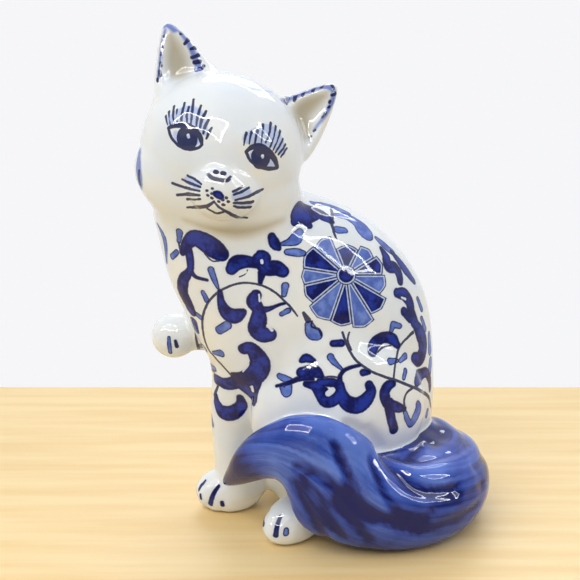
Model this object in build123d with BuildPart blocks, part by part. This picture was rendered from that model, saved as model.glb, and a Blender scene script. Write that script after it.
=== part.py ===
"""Ceramic cat figurine: seated, head turned to its left, right forepaw raised, tail swept round the haunch.

The figurine is slip-cast in separate moulds and luted together before firing, so every casting is a solid
of its own and meets its neighbours face to face: a hollow body with its haunches, a slab that closes the
underside, a hollow head, two ears, two forelegs, two hind paws and a hollow tail.

Frame: +Z up, +X from the chest to the rump, -Y the side that the face looks to. The origin is the centre
of the whole figurine's box at the level of the flat foot. Sizes are in millimetres.
"""

import math
import os

from build123d import *

# ---------------------------------------------------------------- driving dimensions
WALL = 3.5  # thickness of the slip-cast walls
SLAB_THICKNESS = 4.0
VENT_RADIUS = 4.0  # firing vent in the slab
AIR_WAY_RADIUS = 2.5  # joins the tail's hollow to the body's, so that no air is trapped in firing
NECK_OPENING_RADIUS = 13.0  # joins the head's hollow to the body's
NECK_AXIS = (0.25, 0.05, -1.0)

SPHEROID_STEPS = 12  # circles that a spheroid is lofted through, less one
POLE_DEG = 6.0  # where a spheroid's end flat begins, from its axis

# Torso: height, centre along X, half length along the heading, half width across it.
HEADING_DEG = 12.0  # the chest faces -X, turned this far towards -Y
TORSO_Y = 5.0
TORSO_SECTIONS = [
    (0.0, 16.0, 29.0, 25.0),
    (9.0, 15.0, 33.0, 28.0),
    (25.0, 14.0, 35.5, 30.5),
    (40.0, 13.0, 37.5, 31.5),
    (53.0, 9.5, 41.5, 32.0),
    (68.0, 4.0, 46.5, 32.0),
    (86.0, -1.5, 49.5, 31.0),
    (100.0, -7.5, 49.5, 29.5),
    (112.0, -13.5, 46.5, 28.0),
    (122.0, -20.5, 41.5, 25.5),
    (131.0, -30.3, 30.7, 21.5),
    (139.0, -36.0, 18.5, 15.0),
]

# Haunches: spheroids about the across axis, one on each side of the torso.
HAUNCH_CENTRE = (6.0, 22.0, 49.0)  # along the body, out from its mid plane, up
HAUNCH_RADIUS = 35.5
HAUNCH_HALF_WIDTH = 18.0

# Head: spheroids about the axis from ear to ear, in the head's own tilted frame (centre, half size
# across, radius). The face looks to the frame's -Y.
HEAD_CENTRE = (-35.5, -2.0, 152.5)
HEAD_YAW_DEG = 3.0  # the face turns this far from -Y towards +X
HEAD_ROLL_DEG = 17.0  # the crown leans towards +X
HEAD_PITCH_DEG = 14.0  # the face looks up
SKULL = ((0.0, 0.0, 1.5), 31.5, 29.0)
CHEEKS = ((1.5, -2.0, -10.3), 32.5, 21.3)
MUZZLE = ((3.0, -19.0, -12.5), 14.5, 11.5)

# Ears, in the head's frame: a blade lofted from the middle of the base to the tip, with a scooped front.
EARS = {
    "right_ear": ((-18.5, 1.0, 19.5), (-33.0, 1.5, 41.5)),
    "left_ear": ((22.5, 1.0, 12.5), (36.5, 1.5, 37.0)),
}
EAR_SECTIONS = [  # share of the height, half width, half thickness
    (0.0, 12.5, 6.0),
    (0.35, 10.5, 5.2),
    (0.70, 6.4, 3.8),
    (0.92, 3.0, 2.4),
    (1.0, 1.4, 1.2),
]
EAR_SCOOP_SECTIONS = [
    (-0.1, 10.5, 5.6),
    (0.30, 8.2, 4.6),
    (0.62, 5.0, 3.2),
    (0.88, 1.6, 1.6),
]
EAR_SCOOP_FORWARD = 4.5  # how far the scoop's axis lies in front of the blade's

# Forelegs: (x, y, z, radius) along the centre line, from inside the chest to the paw.
STANDING_LEG = [
    (-22.0, -3.0, 82.0, 11.0),
    (-27.5, -3.0, 63.0, 12.0),
    (-30.0, -3.0, 44.0, 11.2),
    (-30.0, -2.5, 26.0, 10.5),
    (-30.0, -2.5, 8.0, 10.5),
]
RAISED_LEG = [
    (-16.0, 15.0, 82.0, 11.0),
    (-32.0, 15.0, 77.5, 11.0),
    (-45.0, 11.5, 75.0, 9.6),
    (-54.5, 7.2, 73.1, 7.5),
]
# Paws: spheroids along a level axis turned from -X towards -Y (centre, heading, half length, radius).
STANDING_PAW = ((-34.0, -3.0, 7.5), 12.0, 14.5, 10.0)
RAISED_PAW = ((-56.0, 6.5, 73.0), 25.0, 9.6, 9.3)
HIND_PAWS = {
    "left_hind_paw": ((-6.0, -27.0, 7.5), 48.0, 17.5, 10.0),
    "right_hind_paw": ((-12.0, 29.0, 7.5), -15.0, 17.5, 10.0),
}

# Tail: centre (x, y, z), half thickness, half height, lean of the height axis towards +X in degrees.
TAIL_SECTIONS = [
    ((30.0, 27.0, 15.0), 8.0, 11.0, 0.0),
    ((46.0, 19.0, 15.0), 12.0, 13.5, 0.0),
    ((57.0, 5.0, 16.0), 13.5, 16.0, 0.0),
    ((58.5, -12.0, 16.5), 14.5, 17.0, 0.0),
    ((49.0, -29.0, 17.0), 14.5, 18.0, 3.0),
    ((32.0, -37.0, 18.0), 14.5, 18.5, 12.0),
    ((14.0, -40.0, 25.5), 13.0, 21.5, 30.0),
    ((0.5, -41.0, 36.5), 11.0, 20.0, 25.0),
    ((-11.5, -39.0, 42.5), 9.0, 13.3, -4.0),
    ((-21.0, -34.0, 37.5), 7.0, 9.5, -36.0),
    ((-28.0, -27.0, 28.5), 4.8, 6.3, -45.0),
    ((-32.8, -20.5, 21.3), 2.8, 3.5, -50.0),
    ((-35.3, -16.0, 17.2), 1.2, 1.4, -52.0),
]
TAIL_HOLLOW = (1, 7)  # sections that the hollow runs through; the tip is solid
TAIL_WALL = 4.0
AIR_WAY = ((36.0, 12.0, 15.0), (52.0, 12.0, 15.0))  # from the body's hollow to the tail's

# ---------------------------------------------------------------- frames
heading = Vector(-math.cos(math.radians(HEADING_DEG)), -math.sin(math.radians(HEADING_DEG)), 0)
body_plane = Plane(origin=(0, TORSO_Y, 0), x_dir=-heading, z_dir=(0, 0, 1))
head_plane = Plane(
    Location(HEAD_CENTRE)
    * Location((0, 0, 0), (0, 0, 1), HEAD_YAW_DEG)
    * Location((0, 0, 0), (0, 1, 0), HEAD_ROLL_DEG)
    * Location((0, 0, 0), (1, 0, 0), -HEAD_PITCH_DEG)
)


# ---------------------------------------------------------------- forms that more than one piece uses
def spheroid(plane, half_length, radius):
    """A spheroid about its plane's Z axis, lofted through circles and closed by a small flat at each end."""
    with BuildPart() as form:
        for step in range(SPHEROID_STEPS + 1):
            angle = math.radians(POLE_DEG + step * (180 - 2 * POLE_DEG) / SPHEROID_STEPS)
            with BuildSketch(plane.offset(-half_length * math.cos(angle))):
                Circle(radius * math.sin(angle))
        loft()
    return form.part


def torso(inset=0.0):
    """The torso from foot to neck, or the form that lies inset inside it."""
    with BuildPart() as form:
        for height, centre_x, half_length, half_width in TORSO_SECTIONS:
            with BuildSketch(Plane(origin=(centre_x, TORSO_Y, height), x_dir=heading, z_dir=(0, 0, 1))):
                Ellipse(half_length - inset, half_width - inset)
        loft()
    return form.part


def haunch(side, inset=0.0):
    """The thigh on one side of the torso, -1 for its left and +1 for its right."""
    along, out, up = HAUNCH_CENTRE
    centre = body_plane.from_local_coords(Vector(along, out * side, up))
    plane = Plane(origin=centre, x_dir=(0, 0, 1), z_dir=body_plane.y_dir)
    return spheroid(plane, HAUNCH_HALF_WIDTH - inset, HAUNCH_RADIUS - inset)


def head_mass(mass, inset=0.0):
    """One of the head's spheroids, or the form that lies inset inside it."""
    centre, half_across, radius = mass
    plane = Plane(head_plane.from_local_coords(Vector(*centre)), head_plane.z_dir, head_plane.x_dir)
    return spheroid(plane, half_across - inset, radius - inset)


def limb(stations):
    """A limb lofted through circles square to its centre line."""
    points = [Vector(x, y, z) for x, y, z, _ in stations]
    with BuildPart() as form:
        for i, (point, station) in enumerate(zip(points, stations)):
            along = points[min(i + 1, len(points) - 1)] - points[max(i - 1, 0)]
            with BuildSketch(Plane(origin=point, x_dir=Vector(0, 1, 0).cross(along), z_dir=along)):
                Circle(station[3])
        loft()
    return form.part


def paw(centre, heading_deg, half_length, radius):
    """A paw's spheroid, its long axis level."""
    turn = math.radians(heading_deg)
    plane = Plane(origin=centre, x_dir=(0, 0, 1), z_dir=(-math.cos(turn), -math.sin(turn), 0))
    return spheroid(plane, half_length, radius)


def tail(inset=0.0, first=0, last=len(TAIL_SECTIONS) - 1):
    """The tail lofted through upright ellipses, or the form that lies inset inside some of them."""
    centres = [Vector(*section[0]) for section in TAIL_SECTIONS]
    with BuildPart() as form:
        for i in range(first, last + 1):
            centre, thick, high, lean = TAIL_SECTIONS[i]
            along = centres[min(i + 1, len(centres) - 1)] - centres[max(i - 1, 0)]
            upright = Vector(0, 0, 1).rotate(Axis.Y, lean)
            outward = Vector(along.X, along.Y, 0).cross(upright)
            with BuildSketch(Plane(origin=centre, x_dir=outward, z_dir=outward.cross(upright))):
                Ellipse(thick - inset, high - inset)
        loft()
    return form.part


def ear_plane(name, share, forward=0.0):
    """A plane across the named ear at a share of its height, moved forward of the blade."""
    base, tip = (Vector(*point) for point in EARS[name])
    origin = base + (tip - base) * share - Vector(0, forward, 0)
    along = tip - base
    across = along.cross(Vector(0, 1, 0))
    start = head_plane.from_local_coords(origin)
    return Plane(
        origin=start,
        x_dir=head_plane.from_local_coords(origin + across) - start,
        z_dir=head_plane.from_local_coords(origin + along) - start,
    )


skull = head_mass(SKULL)
cheeks = head_mass(CHEEKS)
muzzle = head_mass(MUZZLE)

# ---------------------------------------------------------------- body
with BuildPart() as body_outside:
    add(torso())
    add(haunch(-1))
    add(haunch(1))
    split(bisect_by=Plane.XY, keep=Keep.TOP)
    for mass in (skull, cheeks):
        add(mass, mode=Mode.SUBTRACT)

with BuildPart() as body_hollow:
    add(torso(WALL))
    lowered = Location((0, 0, -WALL)) * torso(WALL)
    add(lowered, mode=Mode.INTERSECT)  # keeps the wall thick where the shoulders slope gently
    add(haunch(-1, WALL))
    add(haunch(1, WALL))

with BuildPart() as air_way:
    start, end = (Vector(*point) for point in AIR_WAY)
    with BuildSketch(Plane(origin=start, z_dir=end - start)):
        Circle(AIR_WAY_RADIUS)
    extrude(amount=(end - start).length)

with BuildPart() as body_casting:
    add(body_outside.part)
    add(body_hollow.part, mode=Mode.SUBTRACT)
    add(air_way.part, mode=Mode.SUBTRACT)

with BuildPart() as base_slab:
    add(body_hollow.part)
    split(bisect_by=Plane.XY, keep=Keep.TOP)
    split(bisect_by=Plane.XY.offset(SLAB_THICKNESS), keep=Keep.BOTTOM)
    with BuildSketch(Plane(origin=(TORSO_SECTIONS[0][1], TORSO_Y, 0))):
        Circle(VENT_RADIUS)
    extrude(amount=SLAB_THICKNESS, mode=Mode.SUBTRACT)

# ---------------------------------------------------------------- head and ears
with BuildPart() as head_casting:
    for mass in (skull, cheeks, muzzle):
        add(mass)
    add(head_mass(SKULL, WALL), mode=Mode.SUBTRACT)
    add(head_mass(CHEEKS, WALL), mode=Mode.SUBTRACT)
    with BuildSketch(Plane(origin=HEAD_CENTRE, z_dir=NECK_AXIS)):
        Circle(NECK_OPENING_RADIUS)
    extrude(amount=2 * SKULL[2], mode=Mode.SUBTRACT)

ears = {}
for name in EARS:
    with BuildPart() as ear:
        for share, half_width, half_thickness in EAR_SECTIONS:
            with BuildSketch(ear_plane(name, share)):
                Ellipse(half_width, half_thickness)
        loft()
        for share, half_width, half_thickness in EAR_SCOOP_SECTIONS:
            with BuildSketch(ear_plane(name, share, forward=EAR_SCOOP_FORWARD)):
                Ellipse(half_width, half_thickness)
        loft(mode=Mode.SUBTRACT)
        add(skull, mode=Mode.SUBTRACT)
    ears[name] = ear

# ---------------------------------------------------------------- legs, paws and tail
with BuildPart() as standing_foreleg:
    add(limb(STANDING_LEG))
    add(paw(*STANDING_PAW))
    split(bisect_by=Plane.XY, keep=Keep.TOP)
    add(body_outside.part, mode=Mode.SUBTRACT)

with BuildPart() as raised_foreleg:
    add(limb(RAISED_LEG))
    add(paw(*RAISED_PAW))
    add(body_outside.part, mode=Mode.SUBTRACT)

hind_paws = {}
for name, place in HIND_PAWS.items():
    with BuildPart() as hind_paw:
        add(paw(*place))
        split(bisect_by=Plane.XY, keep=Keep.TOP)
        add(body_outside.part, mode=Mode.SUBTRACT)
    hind_paws[name] = hind_paw

with BuildPart() as tail_casting:
    add(tail())
    split(bisect_by=Plane.XY, keep=Keep.TOP)
    for neighbour in (body_outside, standing_foreleg, hind_paws["left_hind_paw"]):
        add(neighbour.part, mode=Mode.SUBTRACT)
    add(tail(TAIL_WALL, *TAIL_HOLLOW), mode=Mode.SUBTRACT)
    add(air_way.part, mode=Mode.SUBTRACT)

# ---------------------------------------------------------------- pieces, moved to the frame's origin
pieces = {
    "body_casting": body_casting,
    "base_slab": base_slab,
    "head_casting": head_casting,
    **ears,
    "standing_foreleg": standing_foreleg,
    "raised_foreleg": raised_foreleg,
    **hind_paws,
    "tail_casting": tail_casting,
}
boxes = [piece.part.bounding_box() for piece in pieces.values()]
middle_x = (min(box.min.X for box in boxes) + max(box.max.X for box in boxes)) / 2
middle_y = (min(box.min.Y for box in boxes) + max(box.max.Y for box in boxes)) / 2

os.makedirs("parts", exist_ok=True)
for label, piece in pieces.items():
    placed = Location((-middle_x, -middle_y, 0)) * piece.part
    placed.label = label
    export_step(placed, f"parts/{label}.step")
    print(label, "volume", round(placed.volume), "valid", placed.is_valid, "solids", len(placed.solids()))
print("centre moved by", round(-middle_x, 3), round(-middle_y, 3))
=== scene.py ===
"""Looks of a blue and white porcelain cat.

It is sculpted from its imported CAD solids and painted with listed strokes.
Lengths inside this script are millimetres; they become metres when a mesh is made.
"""

import math

import bpy
import numpy as np
import openvdb as vdb
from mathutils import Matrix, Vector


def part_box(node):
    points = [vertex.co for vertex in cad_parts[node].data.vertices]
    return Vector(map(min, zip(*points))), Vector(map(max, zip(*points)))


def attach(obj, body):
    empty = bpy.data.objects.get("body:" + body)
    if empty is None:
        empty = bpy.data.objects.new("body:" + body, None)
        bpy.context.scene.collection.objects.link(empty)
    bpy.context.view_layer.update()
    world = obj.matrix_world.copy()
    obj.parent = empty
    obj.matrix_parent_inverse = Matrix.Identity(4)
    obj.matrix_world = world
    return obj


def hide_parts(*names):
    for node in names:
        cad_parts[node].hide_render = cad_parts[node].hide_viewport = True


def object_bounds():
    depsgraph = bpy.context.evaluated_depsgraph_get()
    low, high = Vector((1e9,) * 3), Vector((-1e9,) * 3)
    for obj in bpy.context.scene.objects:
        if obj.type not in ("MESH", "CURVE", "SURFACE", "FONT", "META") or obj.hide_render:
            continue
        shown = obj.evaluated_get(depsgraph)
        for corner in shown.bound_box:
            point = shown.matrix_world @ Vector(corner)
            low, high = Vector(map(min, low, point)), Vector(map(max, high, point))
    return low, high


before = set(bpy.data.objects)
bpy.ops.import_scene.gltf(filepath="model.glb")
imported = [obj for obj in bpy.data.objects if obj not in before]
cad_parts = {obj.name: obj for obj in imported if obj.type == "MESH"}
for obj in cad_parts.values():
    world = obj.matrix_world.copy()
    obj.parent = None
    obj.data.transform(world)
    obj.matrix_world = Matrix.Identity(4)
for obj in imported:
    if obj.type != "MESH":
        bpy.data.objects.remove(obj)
packed_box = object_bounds()

MM = 0.001
LOW, HIGH = (np.array(corner) / MM for corner in packed_box)
MIDDLE = (LOW + HIGH) / 2

# ---------------------------------------------------------------- view of the photograph
TARGET = MIDDLE + (-11.3, 2.8, -5.4)
CAMERA_DISTANCE = 600.0
CAMERA_PITCH_DEG = 20.0
CAMERA_LENS = 93.1  # for a 36 mm sensor

# ---------------------------------------------------------------- clay
CELL = 1.0  # side of a grid cell
BAND = 10.0  # how far from the surface the grid measures
ORIGIN = np.floor(LOW) - 8.0
SHAPE = tuple(int(n) for n in np.ceil((HIGH - ORIGIN + 8.0) / CELL))
CLEAR = 0.8  # air this far from every wall is either outside or in a hollow
HOLLOW_CORE = 4.0  # a hollow is filled where it holds air this far from every wall
HOLLOW_EDGE = -0.1  # the flood of a hollow ends here, just inside its wall
FILL_DEPTH = -1.5  # value that cells in a filled hollow get
SKIN_KEPT = 0.6  # depth to which the field stays as it was
PLUG_HEIGHT = 3.5  # keeps the flood out of the vent in the slab
SLAB_GAP = 0.25
SMOOTHING = 0.9  # blur that takes the grid's steps out of the clay
# Rounds of refinement: how near to a stroke's edge, and the side that triangles there are cut below.
REFINEMENTS = [(1.4, 0.75), (0.5, 0.4)]
REFINED_SHARE = 0.6
LEAST_STEEP = 0.3  # keeps a settling point from leaping where the field is flat
LOOK_SPAN = 130.0  # how far before and behind its target a painter looks for clay
LOOK_STEPS = 260
LOOK_STRIDE = 0.8  # share of the distance to the clay that one step takes
LOOK_LEAST = 0.35
TOUCH = 0.05

# Nodes in the order they are luted on, with the width of the slip fillet at the joint.
LUTED = [
    ("body_casting", 0.0), ("head_casting", 9.0), ("right_ear", 5.0), ("left_ear", 5.0),
    ("standing_foreleg", 6.0), ("raised_foreleg", 6.0), ("left_hind_paw", 3.0),
    ("right_hind_paw", 3.0), ("tail_casting", 1.2),
]
TAIL = "tail_casting"
SLAB = "base_slab"

# The middle line of the tail, from its root round to its tip: point, half thickness, half height.
TAIL_LINE = [
    ((27.5, 29.8, 15.0), 8.0, 11.0), ((43.5, 21.8, 15.0), 12.0, 13.5), ((54.5, 7.8, 16.0), 13.5, 16.0),
    ((56.0, -9.2, 16.5), 14.5, 17.0), ((46.5, -26.2, 17.0), 14.5, 18.0), ((29.5, -34.2, 18.0), 14.5, 18.5),
    ((11.5, -37.2, 25.5), 13.0, 21.5), ((-2.0, -38.2, 36.5), 11.0, 20.0), ((-14.0, -36.2, 42.5), 9.0, 13.3),
    ((-23.5, -31.2, 37.5), 7.0, 9.5), ((-30.5, -24.2, 28.5), 4.8, 6.3), ((-37.8, -13.2, 17.2), 1.2, 1.4),
]
# Fur that swells up against the body, and the root under the back: points with their radius.
TAIL_SWELLS = [
    [(27, -27, 27, 7.0), (35, -18, 28.5, 7.5), (41, -7, 29.5, 7.5), (44, 5, 30, 7.0), (45, 14, 26, 7.0)],
    [(8, 22, 13, 6.0), (20, 27.5, 14, 8.0), (30, 29, 15, 10.0)],
]
TAIL_SWELL_FILLET = 9.0
TAIL_TWIST = 0.011  # turn of the fur round the tail, radians for each millimetre along it
TAIL_PARTS = 6  # finer knots for each given one
STREAK_LENGTH = 24.0  # stretch of the brush marks along the tail
STREAK_RADIUS = 6.5
FUR_FADE_START = 17.0  # brush marks fade out between these distances from the middle line
FUR_FADE_END = 21.0
GROOVE_TEST = 1.5  # height above the surface where the field tells a groove
GROOVE_GAIN = 2.2
GROOVE_START = 0.12

# Clay added (+) or pressed in (-) along marks in the front view: height, width, marks.
CLAY = [
    (1.1, 5.0, [(-33, 39), (-31, 37)]),  # muzzle pads
    (1.1, 5.0, [(-24, 37), (-26, 36)]),
    (-0.7, 1.6, [(-29, 43.5), (-29.5, 39), (-30, 35.5)]),  # furrow under the nose
    (1.3, 3.0, [(-31, 45.6), (-28.3, 44.6), (-25.6, 45.2)]),  # nose
    (1.0, 4.5, [(-31, 29.5), (-27, 28)]),  # chin
    (-1.0, 4.0, [(-43, 62), (-38, 60)]),  # eye sockets
    (-1.0, 4.0, [(-14, 54), (-9, 51)]),
    (0.9, 3.0, [(-47, 67), (-41, 69), (-36, 65)]),  # brows
    (0.9, 3.0, [(-17, 60), (-12, 61), (-6, 57)]),
    (0.9, 3.0, [(-41.6, 60.8), (-40.6, 60.6)]),  # eyeballs
    (0.9, 3.0, [(-12, 52.6), (-11, 52.4)]),
    (0.8, 7.0, [(-58, 42), (-52, 33)]),  # cheeks
    (0.8, 7.0, [(0, 42), (-4, 33)]),
    (1.0, 5.0, [(-3, -33), (4, -26), (16, -21), (28, -22), (35, -25)]),  # top of the haunch
    (-1.6, 4.0, [(-6, -37), (-3, -28), (4, -21.5), (16, -17), (28, -17.5), (37, -21)]),
    (-1.0, 1.1, [(-35.5, -76), (-37.5, -81), (-37.5, -84)]),  # between the toes
    (-1.0, 1.1, [(-29, -79), (-32, -83), (-33.5, -88)]),
    (-0.9, 1.1, [(-26.3, -83), (-27.5, -86), (-28, -90)]),
    (-0.9, 1.1, [(-9, -88), (-10, -92), (-10, -96)]),
    (-1.0, 1.1, [(-3, -90), (-5, -94), (-6, -99)]),
    (-0.9, 1.1, [(-0.6, -94), (-1.6, -97), (-2, -101)]),
    (-0.9, 1.1, [(-50, -17), (-50.5, -21), (-50, -25)]),
    (-0.9, 1.1, [(-46.8, -18), (-46.6, -22), (-46, -25)]),
]
# Grooves and ridges of the tail's fur in the front view.
FUR = [
    (-2.2, 1.7, [(17, -61), (19, -65.5), (21, -70), (24, -77), (28, -84), (34, -89), (41, -93), (49, -96)]),
    (-1.8, 1.5, [(3, -71), (9, -73), (16, -77), (22, -82), (27, -88), (33, -92)]),
    (-1.3, 1.5, [(18, -84), (23, -90), (28, -96), (32, -100)]),
    (-1.2, 1.4, [(1, -77), (6, -85), (10, -93), (15, -101)]),
    (-1.1, 1.4, [(5, -76), (11, -84), (15, -91), (21, -99)]),
    (-1.3, 1.5, [(27, -60), (31, -67), (35, -76), (39, -84), (45, -90), (54, -93)]),
    (-2.8, 1.9, [(31, -57), (35, -63), (39, -69), (44, -74), (50, -79), (58, -81), (66, -80)]),
    (-1.0, 1.6, [(45, -68), (50, -64), (53, -59), (56, -55)]),
    (2.6, 4.5, [(1, -54.5), (8, -53.5), (15, -54), (22, -57.5), (27, -61)]),
    (1.2, 3.5, [(8, -57), (14, -62), (18, -70), (21, -79)]),
    (1.4, 4.0, [(24, -60), (28, -70), (32, -80), (38, -87)]),
    (1.2, 4.0, [(46, -72), (54, -74), (62, -72)]),
    (1.0, 3.0, [(60, -86), (68, -84), (74, -80)]),
    (-1.1, 1.6, [(57, -88), (64, -85), (72, -82), (77, -78)]),
    (-0.9, 1.5, [(52, -97), (60, -94), (68, -91), (75, -86)]),
]
# Grooves on the tail's far side: turn round the tail at the start, first and last millimetre along it.
FAR_FUR = [(0.2, 4, 60), (0.9, 18, 92), (1.7, 8, 70), (-0.6, 25, 95), (-1.4, 10, 62), (2.6, 30, 90)]
FAR_FUR_DEPTH = -1.2
FAR_FUR_WIDTH = 1.8

TABLE_HALF = 900.0
TABLE_FRONT = -900.0
TABLE_BACK = 122.0
TABLE_ROUND = 3.0
TABLE_EDGE_PARTS = 9
ROOM_FRONT = 0.32  # brightness of the room on the side that the object faces
ROOM_BACK = 1.0
ROOM_FADE = (-0.7, 0.5)  # between these directions along Y the brightness changes
BAR_WIDTH = 32.0  # of a window's bright frame
BAR_FORWARD = 2.0  # the frame stands this far before the window

# ---------------------------------------------------------------- painting
REACH = 3.0  # how far from a stroke its distance is kept
# The last kind is no cobalt: a painted warm shade inside the ears and under the chin.
KINDS = ("line", "ink", "mid", "bud", "pale", "wash", "spare", "painted_shade")
STORED_KINDS = ("line", "ink", "mid", "pale", "wash", "painted_shade")
LEAST_FACING = 0.35  # strokes are widened for a slant down to this cosine
THINNEST = 0.12
WRONG_SIDE = -0.3  # a surface turned this far from a stroke's own isn't painted by it
FAR_SIDE = 0.1  # a surface that faces the painter less than this is on the far side
LINE_WEIGHT = 1.35  # all marked lines are drawn this much wider
FACE_LINE_WEIGHT = 1.25
LINE_EDGE = 0.36  # half the width of the outline round a leaf
BUD_EDGE = 0.24
PETAL_LINE = 0.22
BORDER = 0.8  # pale border of a petal
FLOWER = (22.5, 6.0)
FLOWER_EYE = 2.75
FLOWER_RING = 3.8
FLOWER_REACH = 26.0
FLOWER_HEART = 1.0  # petals start here
RING_LINE = 0.22
EYE_LINE = 0.3
PETAL_ROUND = 0.004  # share of its length that a petal's end draws back, for each degree
PETAL_LINE_INSET = 0.1
# Petals of the big flower: first and last bearing, length, and whether its glaze is dark.
PETALS = [
    (64, 112, 12.2, True), (32, 64, 13.8, False), (0, 32, 15.2, True),
    (-30, 0, 16.4, False), (-58, -30, 19.6, True), (-83, -58, 22.2, False),
    (-109, -83, 20.6, True), (-140, -109, 20.6, False), (-167, -140, 18.4, True),
    (-189, -167, 18.0, False), (-221, -189, 18.6, True), (-248, -221, 17.6, False),
]

# Strokes in the front view, by feature and kind. Each is a spine of (across, up, half width).
RIGHT_EYE = {
    "line": [
        [(-48.7, 64.8, .5), (-46, 65.7, .7), (-42.3, 65.9, .9), (-38.6, 64.4, .9), (-35.9, 61.2, .8),
         (-35.2, 58.2, .5)],
        [(-48.6, 64.4, .5), (-47.3, 60.8, .45), (-44.2, 57.6, .45), (-40.2, 56.4, .6), (-36.6, 56.9, .45),
         (-35.2, 58.2, .5)],
        [(-41.4, 61.2, 3.2), (-41.2, 60.2, 3.2)], [(-48.8, 66.0, .2), (-49.7, 69.6, .4)],
        [(-47.8, 66.0, .2), (-48.4, 71.4, .4)], [(-46.3, 66.3, .2), (-46.7, 70, .35), (-46.4, 73.5, .4)],
        [(-44.9, 66.3, .25), (-45.2, 72.2, .35)],
        [(-43.3, 66.6, .35), (-43.3, 70, .45), (-42.1, 74.8, .35)],
        [(-41.2, 67, .3), (-41.2, 70, .4), (-40.4, 73.2, .35)],
        [(-39.6, 66.4, .3), (-39.2, 70.5, .45), (-38.6, 76.3, .35)],
        [(-37.4, 65.6, .3), (-36.9, 69.5, .45), (-35.6, 73.8, .35)],
        [(-36.0, 64.6, .35), (-35.3, 68, .5), (-33.6, 71.4, .4)],
        [(-34.6, 62.6, .35), (-33.9, 65.4, .5), (-32.6, 68, .45)],
        [(-33.4, 60.6, .35), (-32.4, 63, .45), (-31.3, 64.8, .35)],
    ],
    "pale": [
        [(-45.6, 62.4, 1.2), (-44, 59.6, 1.6), (-39, 60, 2.0), (-37.4, 59.4, 1.4)],
        [(-47.8, 68, 2.0), (-43, 69.6, 3.6), (-39.4, 69.6, 4.0), (-35.8, 66.5, 2.6), (-34, 63, 1.2)],
    ],
    "spare": [
        [(-40.7, 61.8, .65), (-40.5, 61.2, .55)],
    ],
}
LEFT_EYE = {
    "line": [
        [(-17.6, 55.4, .5), (-15.3, 57.1, .8), (-12, 57.5, .9), (-8.8, 55.6, .9), (-6.3, 52.4, .8),
         (-5, 49.2, .5)],
        [(-17.5, 55, .5), (-15.9, 51.8, .45), (-12.6, 49.5, .45), (-8.7, 48.6, .6), (-5.2, 48.8, .45)],
        [(-11.7, 53.4, 2.9), (-11.5, 52.4, 2.9)],
        [(-18.5, 58, .2), (-18.1, 60.5, .35), (-17.5, 62.8, .45)],
        [(-16.4, 58.4, .2), (-16, 61, .35), (-15.4, 63.3, .45)],
        [(-14.1, 58.6, .3), (-13.6, 61.5, .4), (-12.9, 63.9, .45)],
        [(-11.5, 59.2, .2), (-11, 63, .35), (-10.8, 66.2, .45)],
        [(-9.7, 59, .3), (-8.4, 62.5, .35), (-7.7, 66.8, .45)], [(-8.0, 57.4, .35), (-6.7, 60.7, .25)],
        [(-6.6, 60.5, .2), (-5.8, 65.4, .4)], [(-6.8, 56, .25), (-5, 60, .25), (-4, 63.6, .4)],
        [(-5.8, 55, .3), (-4, 58, .35), (-2.8, 60.5, .3)],
        [(-4.7, 54.3, .3), (-2.9, 56.4, .35), (-1.9, 58.2, .3)],
        [(-3.6, 53.3, .3), (-2.2, 55.4, .35), (-1.3, 56.8, .3)],
    ],
    "pale": [
        [(-15, 54.4, 1.1), (-13.6, 51.9, 1.5), (-9, 51.4, 1.8), (-7, 50.6, 1.2)],
        [(-17, 60.6, 2.0), (-12.5, 61.5, 3.4), (-8, 62, 3.8), (-4.6, 58.5, 2.8), (-3, 55.5, 1.4)],
    ],
    "spare": [
        [(-11, 53.6, .6), (-10.9, 53.1, .5)],
    ],
}
MUZZLE = {
    "line": [
        [(-33, 46.5, .5), (-31, 44.8, .65), (-28, 44.0, .6), (-25.2, 43.8, .6), (-23.8, 45.1, .5)],
        [(-29.8, 47.2, .75), (-29.4, 47.1, .75)], [(-26.9, 46.7, .75), (-26.4, 46.6, .75)],
        [(-33.3, 39.8, .5), (-33, 39.8, .4)], [(-31.2, 40.6, .4), (-30.9, 40.6, .4)],
        [(-33, 37.9, .45), (-32.7, 37.8, .4)], [(-31.3, 38.6, .45), (-31.1, 38.5, .4)],
        [(-31.4, 36.9, .45), (-31, 36.7, .4)], [(-28.6, 35.4, .45), (-28.3, 35.3, .4)],
        [(-27.1, 36.1, .45), (-26.7, 36.0, .4)], [(-25.6, 37, .45), (-25.3, 36.8, .4)],
        [(-24.8, 35.4, .45), (-24.5, 35.3, .4)], [(-26.7, 34.2, .5), (-26.3, 34.1, .4)],
        [(-41, 33.1, .35), (-37, 33.1, .45), (-33, 33.7, .5), (-30.3, 35.5, .35)],
        [(-30.2, 35.2, .3), (-28, 32.9, .4), (-24, 30.6, .45), (-21, 29.1, .45), (-17.2, 29.0, .3)],
        [(-34.4, 33.4, .3), (-32.4, 32.1, .35), (-29.3, 30.8, .4), (-27, 31.1, .4), (-26, 31.9, .3)],
    ],
    "ink": [
        [(-30, 38.6, .7), (-28.6, 38.1, 1.2), (-27.6, 37.3, .9)],
    ],
}
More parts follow.
